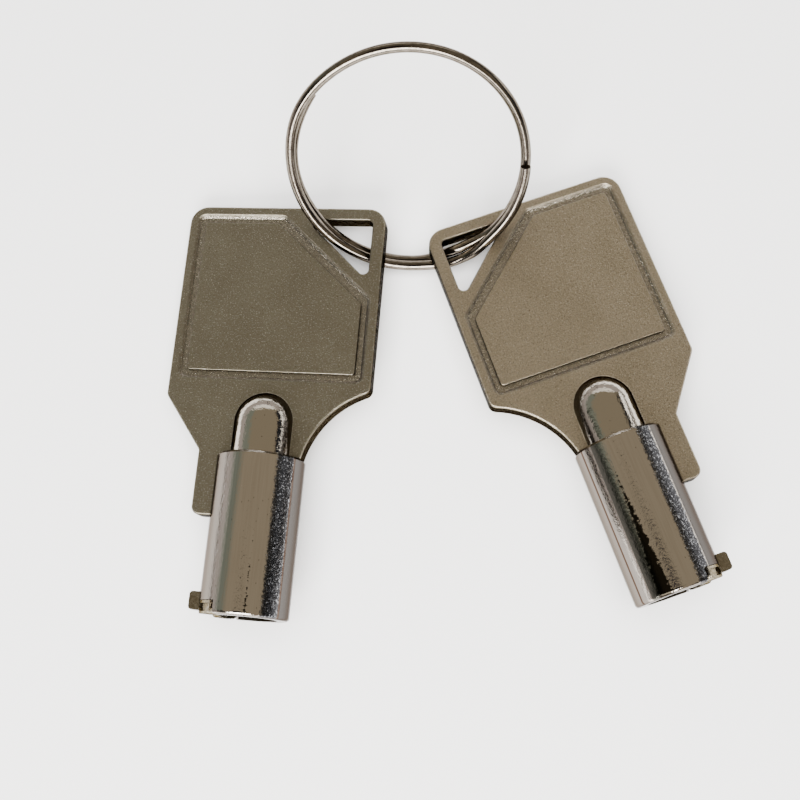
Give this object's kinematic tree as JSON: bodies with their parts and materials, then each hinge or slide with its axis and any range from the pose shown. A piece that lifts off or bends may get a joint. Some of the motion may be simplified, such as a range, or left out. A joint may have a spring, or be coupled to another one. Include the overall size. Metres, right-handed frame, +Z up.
{
  "type": "tubular lock keys on split ring",
  "caption": "Two barrel lock keys, each a flat cast bow with a corner hole and a stop tab on a short tube with a rim lug, hung on a wire split ring.",
  "frame": {"origin": "on the table, under the middle of the whole", "axes": "+Z up from the table, +Y from the tubes towards the ring, +X from the left key to the right key"},
  "size_m": [0.0598, 0.0576, 0.0198],
  "materials": {
    "cast_nickel": "bright nickel over a die casting, fine grain",
    "nickel_tube": "bright nickel over a drawn tube, glossy",
    "staked_steel": "dull nickel over pressed steel",
    "spring_wire": "polished spring wire"
  },
  "bodies": {
    "ring": {"split_ring": "spring_wire"},
    "left_key": {"left_key_head": "cast_nickel", "left_key_barrel": "nickel_tube", "left_key_lug": "staked_steel"},
    "right_key": {"right_key_head": "cast_nickel", "right_key_barrel": "nickel_tube", "right_key_lug": "staked_steel"}
  },
  "joints": [
    {"name": "left_key_swing", "type": "hinge", "parent": "ring", "child": "left_key", "pos_m": [-0.01095, 0.01487, 0.00335], "axis": [0.3351, -0.8372, -0.4321], "range_deg": [0, 110]},
    {"name": "right_key_swing", "type": "hinge", "parent": "ring", "child": "right_key", "pos_m": [0.00424, 0.01423, 0.0033], "axis": [0.5839, 0.7768, 0.2359], "range_deg": [0, 110]}
  ]
}
